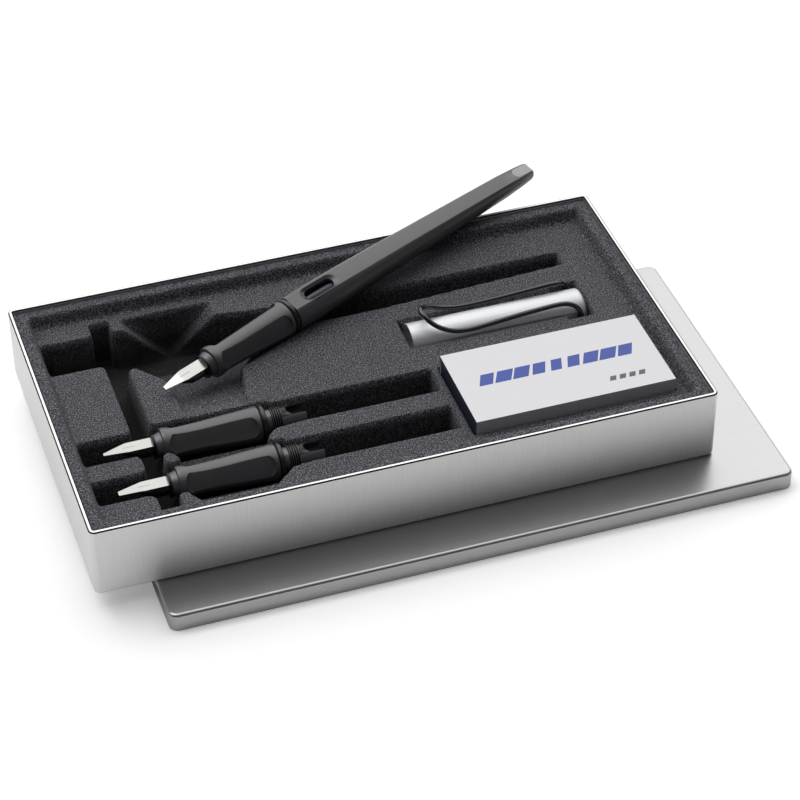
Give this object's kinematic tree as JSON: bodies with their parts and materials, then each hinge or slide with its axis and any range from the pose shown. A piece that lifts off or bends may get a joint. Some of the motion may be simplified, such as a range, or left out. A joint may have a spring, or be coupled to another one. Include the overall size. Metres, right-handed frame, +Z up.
{
  "type": "calligraphy set box",
  "caption": "Open flat metal box across its lid; a foam insert holds a broad-nib pen, its cap, spare grip sections and a carton of ink.",
  "frame": {"origin": "centre of the whole set's bounds on the table, under the lid's rim", "axes": "+X along the box to the right, +Y to the back, +Z up; the open box stands on the upturned side of its lid"},
  "size_m": [0.2314, 0.1491, 0.042],
  "materials": {
    "box_steel": "satin brushed steel sheet",
    "lid_steel": "satin brushed steel sheet",
    "foam": "moulded speckled foam, matte",
    "pen_plastic": "fine satin",
    "end_inset": "satin",
    "black_gloss": "gloss",
    "nib_steel": "polished",
    "cap_silver": "satin anodised",
    "clip_black": "gloss black",
    "card": "coated card, printed with a plain blue pattern",
    "ink_blue": "ink seen through thin plastic"
  },
  "bodies": {
    "lid": {"lid_shell": "lid_steel"},
    "box": {"box_tray": "box_steel", "foam_insert": "foam"},
    "pen": {"pen_barrel": "pen_plastic", "barrel_end_inset": "end_inset"},
    "seal": {"pen_seal_ring": "black_gloss"},
    "section": {"pen_grip": "pen_plastic", "pen_section_core": "black_gloss", "pen_feed": "black_gloss", "pen_cartridge": "ink_blue"},
    "nib": {"pen_nib": "nib_steel"},
    "cap": {"cap_tube": "cap_silver", "cap_liner": "black_gloss", "cap_end_disc": "black_gloss"},
    "clip": {"cap_clip": "clip_black"},
    "spare_1": {"spare1_grip": "pen_plastic", "spare1_core": "black_gloss", "spare1_seal_ring": "black_gloss", "spare1_feed": "black_gloss"},
    "spare_1_nib": {"spare1_nib": "nib_steel"},
    "spare_2": {"spare2_grip": "pen_plastic", "spare2_core": "black_gloss", "spare2_seal_ring": "black_gloss", "spare2_feed": "black_gloss"},
    "spare_2_nib": {"spare2_nib": "nib_steel"},
    "carton": {"carton_sleeve": "card", "carton_flap": "card", "ink_cartridges": "ink_blue"}
  },
  "joints": [
    {"name": "box_lift", "type": "slide", "parent": "lid", "child": "box", "axis": [0, 0, 1], "range_m": [0, 0.06]},
    {"name": "pen_lift", "type": "slide", "parent": "box", "child": "pen", "axis": [0, 0, 1], "range_m": [0, 0.06]},
    {"name": "section_advance", "type": "slide", "parent": "pen", "child": "seal", "axis": [-0.9161, -0.3964, -0.06], "range_m": [0, 0.00224]},
    {"name": "section_unscrew", "type": "hinge", "parent": "seal", "child": "section", "pos_m": [-0.02496, 0.02804, 0.03242], "axis": [-0.9161, -0.3964, -0.06], "range_deg": [0, 1080]},
    {"name": "pen_nib_pull", "type": "slide", "parent": "section", "child": "nib", "axis": [-0.9161, -0.3964, -0.06], "range_m": [0, 0.012]},
    {"name": "cap_lift", "type": "slide", "parent": "box", "child": "cap", "axis": [0, 0, 1], "range_m": [0, 0.045]},
    {"name": "clip_flex", "type": "hinge", "parent": "cap", "child": "clip", "pos_m": [0.07045, 0.01143, 0.0248], "axis": [0, 1, 0], "range_deg": [0, 7], "stiffness_Nm_per_rad": 1.5},
    {"name": "spare_1_lift", "type": "slide", "parent": "box", "child": "spare_1", "axis": [0, 0, 1], "range_m": [0, 0.045]},
    {"name": "spare_1_nib_pull", "type": "slide", "parent": "spare_1", "child": "spare_1_nib", "axis": [-1, 0, 0], "range_m": [0, 0.006]},
    {"name": "spare_2_lift", "type": "slide", "parent": "box", "child": "spare_2", "axis": [0, 0, 1], "range_m": [0, 0.045]},
    {"name": "spare_2_nib_pull", "type": "slide", "parent": "spare_2", "child": "spare_2_nib", "axis": [-1, 0, 0], "range_m": [0, 0.006]},
    {"name": "carton_lift", "type": "slide", "parent": "box", "child": "carton", "axis": [0, 0, 1], "range_m": [0, 0.04]}
  ],
  "couplings": [
    {"joint": "section_unscrew", "follows": "section_advance", "rad_per_m": 8377.6}
  ]
}
